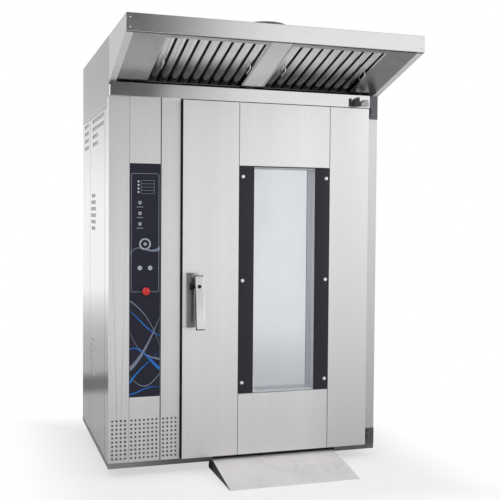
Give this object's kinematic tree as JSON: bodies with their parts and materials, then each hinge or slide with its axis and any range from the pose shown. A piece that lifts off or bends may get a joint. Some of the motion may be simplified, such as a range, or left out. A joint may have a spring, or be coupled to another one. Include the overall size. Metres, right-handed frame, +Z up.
{
  "type": "rotating rack oven",
  "caption": "Walk-in steel oven with a top-hung turning rack, windowed door, control column, overhanging hood with grease filters, and a loading ramp.",
  "frame": {"origin": "on the floor, under the middle of the whole object's box", "axes": "+X to the right seen from the front, +Y to the back, +Z up; the door, control column, hood and ramp face -Y"},
  "size_m": [1.5, 1.78, 2.37],
  "materials": {
    "panel_steel": "satin",
    "bright_steel": "satin",
    "frame_steel": "satin",
    "galvanised_steel": "satin",
    "shaft_steel": "polished",
    "cast_iron": "matte",
    "heater_steel": "matte",
    "motor_paint": "satin",
    "motor_casing": "matte",
    "mineral_wool": "matte",
    "toughened_glass": "gloss",
    "black_strip": "satin",
    "seal_rubber": "matte",
    "black_plastic": "satin",
    "navy_overlay": "satin",
    "button_metal": "satin",
    "red_plastic": "gloss",
    "wheel_black": "matte"
  },
  "bodies": {
    "root": {"base_frame": "frame_steel", "levelling_feet": "black_plastic", "left_post": "panel_steel", "control_column": "panel_steel", "inner_column": "panel_steel", "right_jamb": "panel_steel", "left_side_panels": "panel_steel", "right_side_panel": "panel_steel", "back_panel": "panel_steel", "header_rail": "bright_steel", "hood_canopy": "bright_steel", "hood_soffit": "bright_steel", "duct_collar": "galvanised_steel", "oven_chamber": "panel_steel", "air_wall": "bright_steel", "insulation": "mineral_wool", "heating_elements": "heater_steel", "fan_motor": "motor_casing", "humidifier": "cast_iron", "steam_flue": "panel_steel", "drive_frame": "frame_steel", "gearmotor": "motor_paint", "door_hardware": "frame_steel", "control_overlay": "navy_overlay", "door_switch": "panel_steel", "ramp": "bright_steel", "service_fittings": "black_plastic"},
    "filter_left": {"filter_left": "bright_steel"},
    "filter_right": {"filter_right": "bright_steel"},
    "circulation_fan": {"circulation_fan": "bright_steel"},
    "damper_flap": {"damper_flap": "frame_steel"},
    "drive_pinion": {"drive_pinion": "cast_iron"},
    "lift_yoke": {"bearing_yoke": "frame_steel"},
    "rack": {"lift_shaft": "shaft_steel", "lift_carrier": "bright_steel", "rack_frame_left": "bright_steel", "rack_frame_right": "bright_steel", "tray_runners": "bright_steel", "rack_cross_tubes": "bright_steel", "rack_base": "bright_steel"},
    "door": {"door_skins": "bright_steel", "door_pan": "panel_steel", "door_wool": "mineral_wool", "door_glass": "toughened_glass", "window_clamps": "black_strip", "door_seal": "seal_rubber", "handle_base": "panel_steel"},
    "handle_lever": {"handle_lever": "bright_steel"},
    "latch_bolt": {"latch_bolt": "frame_steel"},
    "start_button": {"start_button": "button_metal"},
    "stop_button": {"stop_button": "button_metal"},
    "emergency_button": {"emergency_button": "red_plastic"},
    "caster_fork_1": {"caster_fork_1": "panel_steel"},
    "caster_wheel_1": {"caster_wheel_1": "wheel_black"},
    "caster_fork_2": {"caster_fork_2": "panel_steel"},
    "caster_wheel_2": {"caster_wheel_2": "wheel_black"},
    "caster_fork_3": {"caster_fork_3": "panel_steel"},
    "caster_wheel_3": {"caster_wheel_3": "wheel_black"},
    "caster_fork_4": {"caster_fork_4": "panel_steel"},
    "caster_wheel_4": {"caster_wheel_4": "wheel_black"}
  },
  "joints": [
    {"name": "door_hinge", "type": "hinge", "parent": "root", "child": "door", "pos_m": [0.703, -0.326, 1.035], "axis": [0, 0, 1], "range_deg": [0, 115]},
    {"name": "handle_pivot", "type": "hinge", "parent": "door", "child": "handle_lever", "pos_m": [-0.318, -0.396, 1.004], "axis": [-1, 0, 0], "range_deg": [-9, 9]},
    {"name": "latch_slide", "type": "slide", "parent": "door", "child": "latch_bolt", "axis": [1, 0, 0], "range_m": [-0.02, 0.02]},
    {"name": "start_press", "type": "slide", "parent": "root", "child": "start_button", "axis": [0, 1, 0], "range_m": [0, 0.0025], "stiffness_N_per_m": 600},
    {"name": "stop_press", "type": "slide", "parent": "root", "child": "stop_button", "axis": [0, 1, 0], "range_m": [0, 0.0025], "stiffness_N_per_m": 600},
    {"name": "emergency_press", "type": "slide", "parent": "root", "child": "emergency_button", "axis": [0, 1, 0], "range_m": [0, 0.005], "stiffness_N_per_m": 1500},
    {"name": "filter_lift_left", "type": "slide", "parent": "root", "child": "filter_left", "axis": [0, 0.2635, 0.9647], "range_m": [0, 0.02]},
    {"name": "filter_lift_right", "type": "slide", "parent": "root", "child": "filter_right", "axis": [0, 0.2635, 0.9647], "range_m": [0, 0.02]},
    {"name": "fan_spin", "type": "hinge", "parent": "root", "child": "circulation_fan", "pos_m": [-0.507, 0.2729, 1.45], "axis": [1, 0, 0], "continuous": true},
    {"name": "damper_turn", "type": "hinge", "parent": "root", "child": "damper_flap", "pos_m": [0.552, 0.6885, 2.14], "axis": [1, 0, 0], "range_deg": [0, 90]},
    {"name": "rack_lift", "type": "slide", "parent": "root", "child": "lift_yoke", "axis": [0, 0, 1], "range_m": [0, 0.025]},
    {"name": "rack_turn", "type": "hinge", "parent": "lift_yoke", "child": "rack", "pos_m": [0.156, 0.2729, 2], "axis": [0, 0, 1], "continuous": true},
    {"name": "pinion_turn", "type": "hinge", "parent": "root", "child": "drive_pinion", "pos_m": [0.156, 0.4604, 2.04], "axis": [0, 0, 1], "continuous": true},
    {"name": "caster_swivel_1", "type": "hinge", "parent": "rack", "child": "caster_fork_1", "pos_m": [-0.089, 0.0079, 0.19], "axis": [0, 0, 1], "continuous": true},
    {"name": "caster_roll_1", "type": "hinge", "parent": "caster_fork_1", "child": "caster_wheel_1", "pos_m": [-0.11854, 0.00269, 0.1123], "axis": [0.1736, -0.9848, 0], "continuous": true},
    {"name": "caster_swivel_2", "type": "hinge", "parent": "rack", "child": "caster_fork_2", "pos_m": [0.401, 0.0079, 0.19], "axis": [0, 0, 1], "continuous": true},
    {"name": "caster_roll_2", "type": "hinge", "parent": "caster_fork_2", "child": "caster_wheel_2", "pos_m": [0.39682, -0.02181, 0.1123], "axis": [0.9903, -0.1392, 0], "continuous": true},
    {"name": "caster_swivel_3", "type": "hinge", "parent": "rack", "child": "caster_fork_3", "pos_m": [-0.089, 0.5379, 0.19], "axis": [0, 0, 1], "continuous": true},
    {"name": "caster_roll_3", "type": "hinge", "parent": "caster_fork_3", "child": "caster_wheel_3", "pos_m": [-0.11357, 0.52069, 0.1123], "axis": [0.5736, -0.8192, 0], "continuous": true},
    {"name": "caster_swivel_4", "type": "hinge", "parent": "rack", "child": "caster_fork_4", "pos_m": [0.401, 0.5379, 0.19], "axis": [0, 0, 1], "continuous": true},
    {"name": "caster_roll_4", "type": "hinge", "parent": "caster_fork_4", "child": "caster_wheel_4", "pos_m": [0.43034, 0.53166, 0.1123], "axis": [0.2079, 0.9781, 0], "continuous": true}
  ],
  "couplings": [
    {"joint": "latch_slide", "follows": "handle_pivot", "m_per_rad": 0.12732},
    {"joint": "pinion_turn", "follows": "rack_turn", "ratio": -4}
  ]
}
